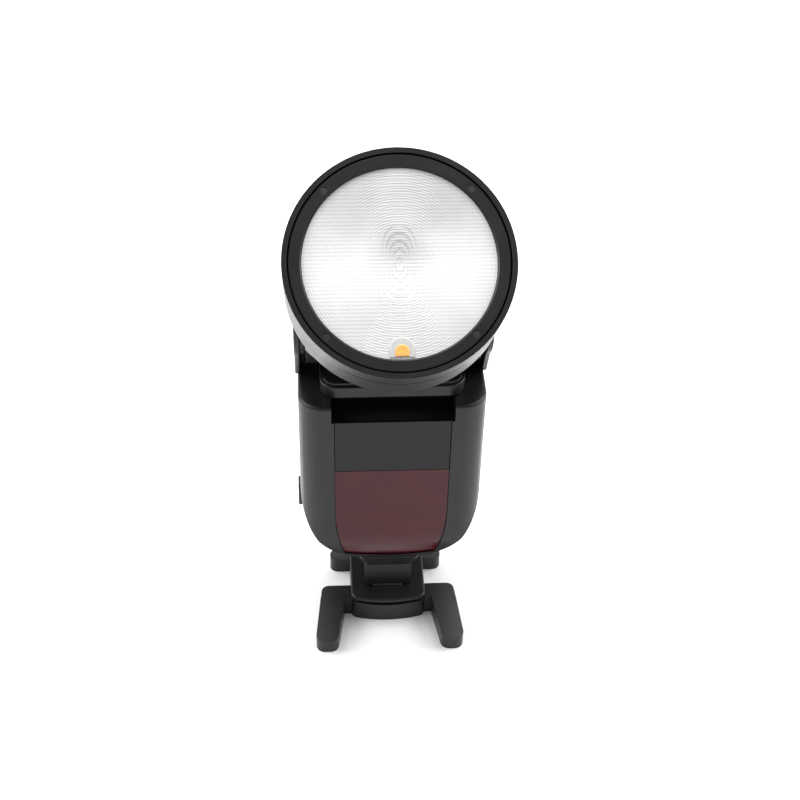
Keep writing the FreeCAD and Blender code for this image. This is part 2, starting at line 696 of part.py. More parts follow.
def make_inside():
    outer_y = wider(BATTERY_Y, "bay_wall")
    outer_z = wider(BATTERY_Z, "bay_wall")
    bay = box("bay_outside", ("-body_width / 2 + 6.2", "contact_end + bay_wall"), outer_y, outer_z)
    room = box("bay_inside", ("-body_width / 2", "contact_end"), BATTERY_Y, BATTERY_Z)
    finish("battery_bay", cut("battery_bay", bay, room))
    blade_z = ("battery_low + 5.8", "battery_low + 15.8")
    blades = [box(f"blade_{i}", ("battery_end + gap", "contact_end"),
                  (f"battery_front + {offset}", f"battery_front + {offset} + 2.4"), blade_z)
              for i, offset in enumerate((4, 9.8, 15.6))]
    finish("battery_contacts", group("battery_contacts", *blades))
    capacitor_span = ("-body_width / 2 + 11.2", "body_width / 2 - 11.2")
    capacitor_at = ("-body_front + 13.5", "body_high - 19.5")
    finish("capacitor", cylinder("capacitor", 8.5, capacitor_span, capacitor_at, "X"))
    board_half = "body_width / 2 - 9.7"
    board_y = ("-body_front + 10", "battery_back - 3")
    finish("main_board", box("main_board", (f"-({board_half})", board_half), board_y,
                             ("body_low + 13.5", "body_low + 13.5 + board_thick")))
    control_half = "body_width / 2 - 8.2"
    finish("control_board", box("control_board", (f"-({control_half})", control_half),
                                CONTROL_BOARD_Y,
                                ("body_low + 16", "body_high - 6")))
    lamp = cylinder("lamp_can", 4.2, ("-body_front + 4", "-body_front + 10"), (-8, "body_low + 27"), "Y")
    sensor = box("sensor_can", (4, 12), ("-body_front + 4.5", "-body_front + 10"),
                 ("body_low + 23", "body_low + 31"))
    board = box("lamp_board", (-14, 14), ("-body_front + 10", "-body_front + 11.2"),
                ("body_low + 18", "body_low + 42"))
    finish("af_lamp", fuse("af_lamp", lamp, board, sensor))
    finish("lcd_window", box("lcd_window", ("-lcd_half + panel_gap", "lcd_half - panel_gap"),
                             ("body_back - wall", "body_back - 0.4"),
                             ("lcd_low + panel_gap", "lcd_high - panel_gap")))
    finish("lcd_module", box("lcd_module", ("-lcd_half - 2", "lcd_half + 2"),
                             (CONTROL_BOARD_Y[1], "body_back - wall"), ("lcd_low - 2", "lcd_high + 2")))
    outer_end = "body_width / 2 - port_deep - 0.15"
    middle = (SOCKET_Y, SOCKET_Y)
    usb = box("usb_shell", (f"{outer_end} - 8.3", outer_end), wider(middle, 1.7), USB_Z)
    mouth = box("usb_mouth", (f"{outer_end} - 6.3", "body_width / 2"), wider(middle, 1.4),
                wider(USB_Z, -0.3))
    tongue = box("usb_tongue", (f"{outer_end} - 7.3", f"{outer_end} - 0.5"), wider(middle, 0.35),
                 wider(USB_Z, -1.4))
    finish("usb_socket", fuse("usb_socket", cut("usb_cut", usb, mouth), tongue))
    jack = cylinder("jack", 3.2, (f"{outer_end} - 12.3", outer_end), JACK_AT, "X")
    jack_bore = cylinder("jack_bore", 1.3, (f"{outer_end} - 10.3", "body_width / 2"), JACK_AT, "X")
    finish("sync_jack", cut("sync_jack", jack, jack_bore))
    finish("hub_bearing", turned("bearing", [
        ("hub_radius + fit", "bearing_low"), ("bearing_radius + 0.6", "bearing_low"),
        ("bearing_radius + 0.6", "body_high - wall"), ("bearing_radius", "body_high - wall"),
        ("bearing_radius", "bearing_high"), ("hub_radius + fit", "bearing_high"),
    ], "swivel_back"))


def make_battery():
    span = ("battery_front", "battery_back")
    height = ("battery_low", "battery_high")
    cap_end = "-body_width / 2 + 4.4"
    finish("battery_case", box("battery_case", (cap_end, "battery_end"), span, height))
    end = box("battery_face", ("-body_width", cap_end), span, height)
    finish("battery_cap", common("battery_cap", casing_block("battery_form"), end))
    latch_z = ("latch_low", "latch_high")
    key = box("latch_key", ("-body_width / 2 - 0.9", "-body_width / 2 + 5.2"), LATCH_Y, latch_z)
    flange = box("latch_flange", ("-body_width / 2 + 5.1", "-body_width / 2 + 6.2"),
                 wider(LATCH_Y, 1.2), wider(latch_z, 1.2))
    finish("battery_release", fuse("battery_release", key, flange))
    bead = "port_cover_thick / 2"
    hinge_at = (f"body_width / 2 - {bead}", f"{PORT_Y[1] - 0.15} - {bead}")
    cover_z = wider(PORT_Z, -0.15)
    flap = box("port_flap", ("body_width / 2 - port_cover_thick", "body_width / 2"),
               (PORT_Y[0] + 0.15, hinge_at[1]), cover_z)
    finish("port_cover", fuse("port_cover", flap, cylinder("port_hinge", bead, cover_z, hinge_at)))


# Rear controls: (across, height above the body's underside, width, height) of each cap

CONTROLS = {
    "function_button_1": (16.5, 40, 8.4, 3.6),
    "function_button_2": (5.5, 40, 8.4, 3.6),
    "function_button_3": (-5.5, 40, 8.4, 3.6),
    "function_button_4": (-16.5, 40, 8.4, 3.6),
    "mode_button": (20, 30, 7, 4.4),
    "menu_button": (-20, 30, 7, 4.4),
    "test_button": (17.5, 16.5, 6.4, 6.4),
    "power_switch": (-15, 15.5, 5, 3.4),
}
DIAL_AT = (0, "body_low + 23")
SWITCH_TRAVEL = 4
KEY_LIP = 0.8


def control_hole(name):
    across, up, width, height = CONTROLS[name]
    reach = SWITCH_TRAVEL if name == "power_switch" else 0
    x = (f"{across - width / 2 - reach} - gap", f"{across + width / 2} + gap")
    z = (f"body_low + {up - height / 2} - gap", f"body_low + {up + height / 2} + gap")
    return box(name + "_hole", x, ("split_back", "body_back + 1"), z)


def key_outline(name, lip):
    across, up, width, height = CONTROLS[name]
    return [(across + i * (width / 2 + lip), f"body_low + {up + j * (height / 2 + lip)}")
            for i, j in ((-1, -1), (1, -1), (1, 1), (-1, 1))]


def is_along_depth(edge, bounds):
    return abs(edge.tangentAt(edge.FirstParameter).y) > 0.99


def make_controls():
    root = "-body_back + wall + 0.6"
    for name, (across, up, width, height) in CONTROLS.items():
        body = new_body(name + "_key")
        face = new_sketch(body, "XZ_Plane", root)
        add_polygon(face, key_outline(name, 0))
        extrude(body, "Pad", face, "wall + 1.3", reverse=True)
        soften(body, "Fillet", min(width, height) * 0.22, is_along_depth)
        back = new_sketch(body, "XZ_Plane", root)
        add_polygon(back, key_outline(name, KEY_LIP))
        extrude(body, "Pad", back, 0.9)
        finish(name, body)
    dial = fuse("dial_form",
                cylinder("dial_disc", "dial_radius", ("body_back - 0.9", "body_back + 1.3"), DIAL_AT, "Y"),
                cylinder("dial_tube", "dial_stem", ("body_back - 4.2", "body_back - 0.8"), DIAL_AT, "Y"))
    bore = cylinder("dial_hollow", "dial_bore", ("body_back - 6", "body_back + 2"), DIAL_AT, "Y")
    finish("select_dial", cut("select_dial", dial, bore))
    finish("set_button", cylinder(
        "set_button", "dial_bore - gap", ("body_back - 5", "body_back + 1"), DIAL_AT, "Y"))


# Swivel and yoke


def make_swivel():
    plate_front = "swivel_back - plate_depth / 2"
    plate_back = "swivel_back + plate_depth / 2"
    plate = new_body("plate_form")
    sketch = new_sketch(plate, "XY_Plane", "plate_low")
    add_polygon(sketch, rectangle("plate_width / 2", plate_front, plate_back))
    extrude(plate, "Pad", sketch, "plate_thick")
    soften(plate, "Fillet", "plate_corner", is_upright)
    soften(plate, "Fillet", 0.8, is_at_bottom)
    through = cylinder("cable_way", "hub_bore", ("plate_low - 1", "plate_high + 1"), (0, "swivel_back"))
    finish("swivel_plate", cut("swivel_plate", plate, through))
    tail = "hub_radius - 1"
    hub_low = "retainer_low - retainer_thick"
    finish("swivel_hub", turned("hub", [
        ("hub_bore", hub_low), (tail, hub_low), (tail, "retainer_high"), ("hub_radius", "retainer_high"),
        ("hub_radius", "plate_low"), ("hub_bore", "plate_low"),
    ], "swivel_back"))
    finish("hub_retainer", ring(
        "retainer", tail, "bearing_radius", "retainer_low", "retainer_high", "swivel_back"))
    between_cheeks = rectangle("yoke_outer", "swivel_back - cheek_leg / 2", "swivel_back + cheek_leg / 2")
    floor = prism("yoke_floor", "XY_Plane", between_cheeks, "plate_high", "floor_thick")
    lip = prism("yoke_lip", "XY_Plane", rectangle(
        "plate_width / 2 - 1", f"{plate_front} + 1", f"{plate_back} - 1"), "plate_high", "floor_thick")
    soften(lip, "Fillet", "plate_corner - 1", is_upright)
    arms = [cheek(f"arm_{side}", side, "yoke_inner", "yoke_outer", "plate_high", "cheek_radius - 1.2")
            for side in (1, -1)]
    pin_room = cylinder("pin_room", "pin_radius", EVERYWHERE, ("tilt_back", "tilt_high"), "X")
    finish("yoke", cut("yoke", fuse("yoke_form", floor, lip, *arms), pin_room))
    for name, side in (("yoke_cover_left", -1), ("yoke_cover_right", 1)):
        finish(name, cheek(name, side, "yoke_outer", "cover_outer", "plate_low + 0.2", "cheek_radius"))
    pins = [cylinder(f"pin_{side}", "pin_radius", pair(side, "neck_half - 2.6", "yoke_outer"),
                     ("tilt_back", "tilt_high"), "X") for side in (1, -1)]
    finish("tilt_pins", group("tilt_pins", *pins))


def pair(side, near, far):
    """A span on one side of the middle plane, lowest value first."""
    return (near, far) if side > 0 else (f"-({far})", f"-({near})")


def cheek(name, side, near, far, low, radius):
    """An upright cheek: a disc about the tilt axis on a foot centred on the swivel axis."""
    span = pair(side, near, far)
    disc = cylinder(name + "_disc", radius, span, ("tilt_back", "tilt_high"), "X")
    leg = prism(name + "_leg", "YZ_Plane", [
        ("swivel_back - cheek_leg / 2", low), ("swivel_back + cheek_leg / 2", low),
        (f"tilt_back + {radius}", "tilt_high"), (f"tilt_back - ({radius})", "tilt_high"),
    ], span[0], f"({span[1]}) - ({span[0]})")
    return fuse(name, disc, leg)


# Head, drawn pointing up about the tilt axis

LEAN = 25
STOP = 7


def head_form(name, inset):
    """The head's outer form, or the same form set in by a distance: a barrel and a narrower neck."""
    barrel = cylinder(name + "_barrel", f"barrel_radius - {inset}",
                      (f"barrel_back + {inset}", f"head_front + {inset}"))
    neck_front = f"-neck_radius * cos({STOP}) + {inset}"
    neck_rise = f"neck_radius * sin({STOP})"
    bend = "neck_radius + 0.6"
    belly = f"-(barrel_radius - 12) + {inset}"
    neck = prism(name + "_neck", "YZ_Plane", [
        (neck_front, neck_rise),
        (f"{neck_front} + ({bend} - {neck_rise}) * tan({STOP})", bend),
        (belly, f"barrel_back + {inset} * 0.5"),
        (belly, f"barrel_back + {inset} + 1"),
        (f"barrel_radius - 1 - {inset}", f"barrel_back + {inset} + 1"),
        (f"barrel_radius - 1.6 - {inset}", "barrel_back - 0.6"),
        (f"neck_radius * cos({LEAN}) - {inset}", f"-neck_radius * sin({LEAN})"),
        (0, "-1"),
    ], f"-neck_half + {inset}", f"2 * neck_half - 2 * {inset}")
    rear = cylinder(name + "_rear", f"neck_radius - {inset}",
                    (f"-neck_half + {inset}", f"neck_half - {inset}"), (0, 0), "X")
    within = cylinder(name + "_within", f"barrel_radius - {inset}", ("-neck_radius", "head_front"))
    return fuse(name, barrel, common(name + "_back", fuse(name + "_both", neck, rear), within))


def bezel_holes(name, radius, low, high):
    spot = "screw_circle * sqrt(0.5)"
    return [cylinder(f"{name}_{i}{j}", radius, (low, high), (f"{i} * {spot}", f"{j} * {spot}"))
            for i in (1, -1) for j in (1, -1)]


def make_head():
    outer = head_form("head_outer", 0)
    inside = head_form("head_inside", "shell")
    bore = cylinder("barrel_bore", "rim_inner", ("barrel_back + shell", "head_front + 1"))
    pins = cylinder("pin_bores", "pin_radius + fit", EVERYWHERE, (0, 0), "X")
    slot_span = ("head_front - slot_back - slot_wide", "head_front - slot_back")
    slot = cut("slot", cylinder("slot_outside", "barrel_radius + 1", slot_span),
               cylinder("slot_inside", "barrel_radius - 0.7", (0, "head_front")))
    slot_width = box("slot_width", ("-slot_half", "slot_half"), ("-barrel_radius - 2", 0), (0, "head_front"))
    shell_form = cut("shell_form", outer, inside, bore, pins, common("slot_cut", slot, slot_width))
    high = box("high_side", EVERYWHERE, (0, "body_width"), ("-body_width", "body_width"))
    low = box("low_side", EVERYWHERE, ("-body_width", 0), ("-body_width", "body_width"))
    finish_in_head("head_top_shell", common("head_top_shell", shell_form, high))
    finish_in_head("head_bottom_shell", common("head_bottom_shell", shell_form, low))

    behind = ("barrel_back", "head_front")
    rim = turned("bezel_form", [
        ("bezel_inner", "bezel_back"), ("seat_radius", "bezel_back"), ("seat_radius", "bezel_front - 0.3"),
        ("seat_radius - 0.3", "bezel_front"), ("bezel_inner + 0.5", "bezel_front"),
        ("bezel_inner", "bezel_front - 0.5"),
    ])
    sinks = bezel_holes("sink", "screw_head", "bezel_front - 1.2", "head_front")
    finish_in_head("bezel", cut("bezel", rim, *sinks, *bezel_holes("through", "screw_shank", *behind)))
    screws = []
    for shank, cap in zip(bezel_holes("shank", "screw_shank", "bezel_back - 7", "bezel_front - 1.1"),
                          bezel_holes("cap", "screw_head - 0.02", "bezel_front - 1.2", "bezel_front - 0.2")):
        screws.append(fuse(shank.Name + "_screw", shank, cap))
    finish_in_head("bezel_screws", *screws)

    lens_edge = "bezel_inner - seat_gap"
    lens = turned("lens_form", [
        (0, "flange_back"), ("seat_radius", "flange_back"), ("seat_radius", "bezel_back"),
        (lens_edge, "bezel_back"), (lens_edge, "lens_front"), (0, "lens_front"),
    ])
    notch = lamp_block("notch", "lamp_half + fit", "rim_inner + 1", *behind)
    finish_in_head("fresnel_lens", cut("fresnel_lens", lens, notch,
                                       *bezel_holes("lens_hole", "screw_shank", *behind)))
    window = lamp_block("lamp_window", "lamp_half", "rim_inner", "flange_back", "lens_front - 0.2")
    inside_bezel = cylinder("inside_bezel", lens_edge, (0, "head_front"))
    finish_in_head("lamp_lens", common("lamp_lens", window, inside_bezel))

    seat = ring("steel_ring", "frame_radius", "seat_radius", "ring_back", "flange_back")
    gate_x = ("-lamp_half - 1.45", "lamp_half + 1.45")
    gate_y = ("-barrel_radius", "-lamp_down + 6")
    gate = box("lamp_gate", gate_x, gate_y, behind)
    finish_in_head("accessory_ring", cut("accessory_ring", seat, gate,
                                         *bezel_holes("ring_hole", "screw_shank", *behind)))
    frame_low = "ring_back - ring_thick"
    cup = turned("light_frame_form", [
        (0, "frame_back"), ("frame_radius + 1", "frame_back"), ("frame_radius + 1", frame_low),
        ("seat_radius", frame_low), ("seat_radius", "ring_back"), ("frame_radius", "ring_back"),
        ("frame_radius", "frame_back + frame_thick"), (0, "frame_back + frame_thick"),
    ])
    opening = box("trough_way", wider(("-reflector_half", "reflector_half"), "gap"),
                  wider(("-mouth_outer", "mouth_outer"), "gap"), ("frame_back - 1", "frame_back + 2"))
    frame_gate = box("frame_gate", gate_x, gate_y, ("lamp_face - 1.4", "head_front"))
    finish_in_head("light_frame", cut("light_frame", cup, opening, frame_gate,
                                      *bezel_holes("frame_hole", "screw_shank", *behind)))

    board = box("lamp_board_form", wider(gate_x, -0.3), ("-lamp_down - 3.6", "-lamp_down + 5.6"),
                ("lamp_face - 1.2", "lamp_face"))
    chip = box("lamp_chip", (-2.4, 2.4), wider(("-lamp_down", "-lamp_down"), 2.4),
               ("lamp_face", "lamp_face + 1.2"))
    finish_in_head("lamp_led", fuse("lamp_led", board, chip))


def lamp_block(name, half, low, start, end):
    """The lamp's round-topped outline, pushed along the light's direction."""
    crown = "lamp_down - 5 + lamp_half"
    arch = cylinder(name + "_arch", half, (start, end), (0, f"-({crown})"))
    legs = box(name + "_legs", (f"-({half})", half), (f"-({low})", f"-({crown})"), (start, end))
    return fuse(name, arch, legs)


def trough(name, half, spread, depth_shift):
    """The reflector's trough between its end walls, open towards the light."""
    back = f"vertex + {depth_shift}"
    bend = "vertex + reflector_deep * 0.4"
    mouth = "vertex + reflector_deep"
    bend_half = "reflector_mouth - 4.3"
    return prism(name, "YZ_Plane", [
        (f"-4 - {spread}", back), (f"4 + {spread}", back),
        (f"{bend_half} + {spread}", bend), (f"reflector_mouth + {spread}", mouth),
        (f"-reflector_mouth - {spread}", mouth), (f"-({bend_half}) - {spread}", bend),
    ], f"-({half})", f"2 * ({half})")


def make_zoom():
    tube_at = (0, "vertex + 5")
    bowl = cut("bowl", trough("bowl_outside", "reflector_half", "reflector_wall", 0),
               trough("bowl_inside", "reflector_half - reflector_wall", 0, "reflector_wall"))
    tube_holes = cylinder("tube_holes", "tube_radius + 0.1", EVERYWHERE, tube_at, "X")
    finish_in_head("reflector", cut("reflector", bowl, tube_holes))
    tube_span = ("-reflector_half + 0.1", "reflector_half - 0.1")
    finish_in_head("flash_tube", cylinder("flash_tube", "tube_radius", tube_span, tube_at, "X"))
    plate_half = "rod_side + 5"
    plate = box("carriage_plate", (f"-({plate_half})", plate_half), ("24 - barrel_radius", "rod_up + 3.2"),
                ("vertex - 2.5", "vertex"))
    ways = [cylinder(f"rod_way_{side}", "rod_radius + fit", (0, "head_front"),
                     (f"{side} * rod_side", "rod_up"))
            for side in (1, 0, -1)]
    finish_in_head("zoom_carriage", cut("zoom_carriage", plate, *ways))
    rods = [cylinder(f"rod_{side}", "rod_radius", ("chassis_front", "frame_back"),
                     (f"{side} * rod_side", "rod_up"))
            for side in (1, -1)]
    finish_in_head("guide_rods", *rods)
    motor_front = "chassis_front + motor_length"
    finish_in_head("lead_screw", cylinder(
        "lead_screw", "rod_radius", (f"{motor_front} + gap", "frame_back - gap"), (0, "rod_up")))
    finish_in_head("zoom_motor", cylinder("zoom_motor", 4, ("chassis_front", motor_front), (0, "rod_up")))
    chassis_half = "barrel_radius - 11"
    finish_in_head("head_chassis", box(
        "head_chassis", (f"-({chassis_half})", chassis_half), ("21.5 - barrel_radius", "rod_up + 2.6"),
        ("chassis_front - 1.6", "chassis_front")))


def write_parts():
    doc.recompute()
    for item in doc.Objects:
        if "Invalid" in item.State or "Error" in item.State:
            raise RuntimeError(f"{item.Label} failed: {item.State}")
    os.makedirs("parts", exist_ok=True)
    for solid in pieces:
        if solid.Shape.isNull() or not solid.Shape.isValid() or not solid.Shape.Solids:
            raise RuntimeError(f"{solid.Label} has no valid shape")
        solid.Shape.exportStep(f"parts/{solid.Label}.step")
        print(f"{solid.Label}: {len(solid.Shape.Solids)} solid(s), {solid.Shape.Volume:.0f} mm3")


make_stand()
make_foot()
make_casing()
make_inside()
make_battery()
make_controls()
make_swivel()
make_head()
make_zoom()
write_parts()
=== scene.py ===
import json
import math

import bmesh
import bpy
from mathutils import Matrix, Vector


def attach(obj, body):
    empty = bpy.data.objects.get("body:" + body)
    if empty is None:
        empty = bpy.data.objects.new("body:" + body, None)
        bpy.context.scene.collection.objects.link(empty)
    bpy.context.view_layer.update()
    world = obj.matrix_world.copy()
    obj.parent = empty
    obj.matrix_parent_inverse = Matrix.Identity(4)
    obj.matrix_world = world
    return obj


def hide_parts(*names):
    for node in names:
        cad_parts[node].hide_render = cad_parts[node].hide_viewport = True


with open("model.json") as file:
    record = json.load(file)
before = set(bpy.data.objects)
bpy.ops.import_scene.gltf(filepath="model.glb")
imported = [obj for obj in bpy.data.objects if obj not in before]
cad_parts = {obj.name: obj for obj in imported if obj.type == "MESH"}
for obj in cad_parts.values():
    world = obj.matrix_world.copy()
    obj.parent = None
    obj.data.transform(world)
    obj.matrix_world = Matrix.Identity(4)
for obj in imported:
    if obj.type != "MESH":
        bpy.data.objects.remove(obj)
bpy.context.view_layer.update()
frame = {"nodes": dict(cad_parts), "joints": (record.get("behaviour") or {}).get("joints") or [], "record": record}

NODES = frame["nodes"]
MM = 0.001

# The head's pieces are drawn about its tilt axis, with +Z along the light, and the record's joints
# say where that is
JOINTS = {joint["name"]: joint for joint in frame["joints"]}
TILT = Vector(JOINTS["head_tilt"]["pos_m"])
LIGHT_WAY = Vector(JOINTS["zoom_slide"]["axis"]).normalized()
DIAL = Vector(JOINTS["select_dial_turn"]["pos_m"])
HEAD_FRAME = Matrix((
    (1, 0, 0, TILT.x),
    (0, LIGHT_WAY.z, LIGHT_WAY.y, TILT.y),
    (0, -LIGHT_WAY.y, LIGHT_WAY.z, TILT.z),
    (0, 0, 0, 1),
))
SLOTS = {part["node"]: part["material_slot"] for part in frame["record"]["subparts"]}
BODIES = {node: body for body, nodes in frame["record"]["behaviour"]["bodies"].items() for node in nodes}

# Sizes of the lens and the lamp, in millimetres
BEZEL_INNER = 31.6
LENS_RADIUS = BEZEL_INNER - 0.15
LENS_FRONT = 56.7
LENS_BACK = 53.2
LENS_CREST = LENS_FRONT - 0.25
RIDGE_PITCH = 0.85
RIDGE_DEPTH = 0.07
RIDGE_RISE = RIDGE_PITCH * 0.12
RIB_PITCH = 1.25
RIB_DEPTH = 0.03
RIB_REACH = 15
LAMP_DOWN = 29
LAMP_EDGE = 0.35
LAMP_STEPS = 24

# The select dial's section in millimetres: radius, height and depth of the teeth cut into it
DIAL_SECTION = (
    (5.2, 1.2, 0), (9.2, 1.2, 0), (10.1, 0.9, 0.25), (10.5, 0.3, 0.45),
    (10.5, -0.9, 0.45), (6.6, -0.9, 0), (6.6, -4.2, 0), (5.2, -4.2, 0),
)
DIAL_SINK = 0.1
DIAL_TEETH = 48
DIAL_SEGMENTS = 384

# How meshes are joined, shaded and rounded; the distance is in metres
MERGE_DISTANCE = 0.000002
FLAT_ANGLE = math.radians(1)
SHARP_ANGLE = math.radians(35)
EDGE_SEGMENTS = 3
TURN_SEGMENTS = 256


# Materials

# The depth of a surface's grain, in metres, and how many times its patterns repeat in a metre
ETCHED = 0.00003
POLISHED = 0.000002
GRAIN_SCALE = 2200
MOTTLE_SCALE = 60

# How far a material's colour and roughness stray from their middle values
TINT = 0.15
ROUGHNESS_SPREAD = 0.1

# Painted reflections on the lens, grey patches that stand in for the reflector seen through it: centre and reach
# across and up it in millimetres, then the grey at the centre and the grey beyond the reach
LENS_PAINTED_REFLECTIONS = (
    ((0, 4), (12, 11), 0.8, 1.0),
    ((-13, 20), (17, 13), 0.84, 1.0),
    ((13, 20), (17, 13), 0.84, 1.0),
    ((-15, -4), (24, 17), 1.0, 0.82),
    ((15, -4), (24, 17), 1.0, 0.82),
)
PATCH_DEPTH = 99

# A wave texture of scale 1 repeats at this length
WAVE_LENGTH = math.pi / 10


def new_material(name):
    material = bpy.data.materials.new(name)
    material.use_nodes = True
    return material, material.node_tree.nodes, material.node_tree.links


def coordinates(nodes, links, stretch=(1, 1, 1), shift=(0, 0, 0)):
    """The object's own coordinates in metres, so that a pattern keeps one size on every piece."""
    place = nodes.new("ShaderNodeTexCoord")
    spread = nodes.new("ShaderNodeMapping")
    spread.inputs["Scale"].default_value = stretch
    spread.inputs["Location"].default_value = shift
    links.new(place.outputs["Object"], spread.inputs["Vector"])
    return spread.outputs["Vector"]


def noise(nodes, links, scale, detail=4.0):
    texture = nodes.new("ShaderNodeTexNoise")
    texture.inputs["Scale"].default_value = scale
    texture.inputs["Detail"].default_value = detail
    links.new(coordinates(nodes, links), texture.inputs["Vector"])
    return texture.outputs["Fac"]


def ramp(nodes, links, source, low, high, low_at=0.3, high_at=0.7):
    """Turn a pattern into a spread of values or colours between two ends."""
    blend = nodes.new("ShaderNodeValToRGB")
    ends = blend.color_ramp.elements
    ends[0].position = low_at
    ends[1].position = high_at
    ends[0].color = low if isinstance(low, tuple) else (low, low, low, 1)
    ends[1].color = high if isinstance(high, tuple) else (high, high, high, 1)
    links.new(source, blend.inputs["Fac"])
    return blend.outputs["Color"]


def multiply(nodes, links, first, second):
    mix = nodes.new("ShaderNodeMix")
    mix.data_type = "RGBA"
    mix.blend_type = "MULTIPLY"
    mix.inputs["Factor"].default_value = 1
    links.new(first, mix.inputs["A"])
    links.new(second, mix.inputs["B"])
    return mix.outputs["Result"]


def bump(nodes, links, source, distance):
    relief = nodes.new("ShaderNodeBump")
    relief.inputs["Distance"].default_value = distance
    relief.inputs["Strength"].default_value = 1
    links.new(source, relief.inputs["Height"])
    return relief.outputs["Normal"]


def moulded(name, colour, roughness, grain=ETCHED, metallic=0.0, gloss=0.5):
    """Plastic, rubber, glass or metal with a fine grain, whose colour and roughness vary slightly."""
    material, nodes, links = new_material(name)
    shader = nodes["Principled BSDF"]
    shader.inputs["Metallic"].default_value = metallic
    shader.inputs["Specular IOR Level"].default_value = gloss
    fine = noise(nodes, links, GRAIN_SCALE, 2.0)
    broad = noise(nodes, links, MOTTLE_SCALE, 3.0)
    darker = tuple(channel * (1 - TINT) for channel in colour) + (1,)
    lighter = tuple(min(channel * (1 + TINT), 1) for channel in colour) + (1,)
    links.new(ramp(nodes, links, broad, darker, lighter), shader.inputs["Base Color"])
    smoother = roughness * (1 - ROUGHNESS_SPREAD)
    rougher = roughness * (1 + ROUGHNESS_SPREAD)
    links.new(ramp(nodes, links, broad, smoother, rougher), shader.inputs["Roughness"])
    links.new(bump(nodes, links, fine, grain), shader.inputs["Normal"])
    return material


def painted_reflection_spot(nodes, links, centre, reach, inner, outer):
    """A soft oval spot of painted reflection: one grey at its centre and another beyond its reach, in millimetres.
    """
    stretch = tuple(1 / (size * MM) for size in reach)
    shift = tuple(-at / size for at, size in zip(centre, reach))
    spot = nodes.new("ShaderNodeTexGradient")
    spot.gradient_type = "SPHERICAL"
    links.new(coordinates(nodes, links, stretch, shift), spot.inputs["Vector"])
    return ramp(nodes, links, spot.outputs["Fac"], outer, inner, 0.0, 0.75)


def fine_lines(nodes, links, kind, pitch, low, high):
    """Rings about the light's axis, or level lines, at a pitch in millimetres."""
    wave = nodes.new("ShaderNodeTexWave")
    wave.wave_type = kind
    if kind == "RINGS":
        wave.rings_direction = "Z"
    else:
        wave.bands_direction = "Y"
    wave.inputs["Scale"].default_value = WAVE_LENGTH / (pitch * MM)
    wave.inputs["Distortion"].default_value = 0.35
    wave.inputs["Detail"].default_value = 1.0
    links.new(coordinates(nodes, links), wave.inputs["Vector"])
    return ramp(nodes, links, wave.outputs["Fac"], low, high, 0.1, 0.9)


def lens_material():
    """An opaque stand-in for a clear ribbed lens over a reflector: pale, with painted reflections of the reflector
    as grey patches, and lines.
    """
    material, nodes, links = new_material("lens_plastic")
    shader = nodes["Principled BSDF"]
    shades = []
    # The grey patches are painted reflections of the reflector behind the lens, multiplied into its colour
    for (across, up), (wide, high), inner, outer in LENS_PAINTED_REFLECTIONS:
        centre = (across, up, LENS_FRONT)
        shades.append(painted_reflection_spot(nodes, links, centre, (wide, high, PATCH_DEPTH), inner, outer))
    shades.append(fine_lines(nodes, links, "RINGS", RIDGE_PITCH, 0.94, 1.0))
    shades.append(fine_lines(nodes, links, "BANDS", RIB_PITCH, 0.84, 1.0))
    colour = ramp(nodes, links, noise(nodes, links, 90, 2.0), (0.9, 0.91, 0.92, 1), (1, 1, 0.99, 1))
    for shade in shades:
        colour = multiply(nodes, links, colour, shade)
    links.new(colour, shader.inputs["Base Color"])
    links.new(ramp(nodes, links, noise(nodes, links, 400, 2.0), 0.12, 0.22), shader.inputs["Roughness"])
    shader.inputs["Coat Weight"].default_value = 0.4
    shader.inputs["Coat Roughness"].default_value = 0.08
    return material


# One material for each slot in the record, and last the lamp's window, which is in the lens's slot
MATERIALS = {
    "stand_plastic": moulded("stand_plastic", (0.01, 0.01, 0.0105), 0.36, gloss=0.32),
    "body_plastic": moulded("body_plastic", (0.009, 0.009, 0.0095), 0.36, gloss=0.32),
    "inner_plastic": moulded("inner_plastic", (0.03, 0.03, 0.032), 0.5),
    "brass": moulded("brass", (0.75, 0.55, 0.25), 0.3, metallic=1.0),
    "foot_metal": moulded("foot_metal", (0.55, 0.55, 0.56), 0.35, metallic=1.0),
    "gold_contact": moulded("gold_contact", (0.85, 0.62, 0.28), 0.25, metallic=1.0),
    "gloss_panel": moulded("gloss_panel", (0.004, 0.004, 0.0045), 0.2, grain=POLISHED, gloss=0.25),
    "red_window": moulded("red_window", (0.055, 0.003, 0.007), 0.16, grain=POLISHED, gloss=0.28),
    "steel": moulded("steel", (0.09, 0.09, 0.095), 0.3, metallic=1.0),
    "capacitor_sleeve": moulded("capacitor_sleeve", (0.02, 0.04, 0.1), 0.3),
    "circuit_board": moulded("circuit_board", (0.01, 0.12, 0.05), 0.4),
    "white_plastic": moulded("white_plastic", (0.85, 0.85, 0.83), 0.45),
    "port_rubber": moulded("port_rubber", (0.02, 0.02, 0.02), 0.6),
    "key_rubber": moulded("key_rubber", (0.03, 0.03, 0.032), 0.5),
    "dial_plastic": moulded("dial_plastic", (0.02, 0.02, 0.021), 0.35),
    "lens_plastic": lens_material(),
    "reflector_metal": moulded("reflector_metal", (0.9, 0.9, 0.9), 0.1, metallic=1.0),
    "tube_glass": moulded("tube_glass", (0.9, 0.9, 0.92), 0.1),
    "lamp_emitter": moulded("lamp_emitter", (0.85, 0.4, 0.1), 0.4),
    "lamp_window": moulded("lamp_window", (0.5, 0.5, 0.49), 0.15, grain=POLISHED),
}


# Pieces


def add_piece(name, mesh, body, slot, material=None, nodes=()):
    """Put a mesh in the scene, riding on a body, in a named material or the slot's own."""
    piece = bpy.data.objects.new(name, mesh)
    bpy.context.scene.collection.objects.link(piece)
    mesh.materials.clear()
    mesh.materials.append(MATERIALS[material or slot])
    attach(piece, body)
    if nodes:
        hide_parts(*nodes)
    return piece


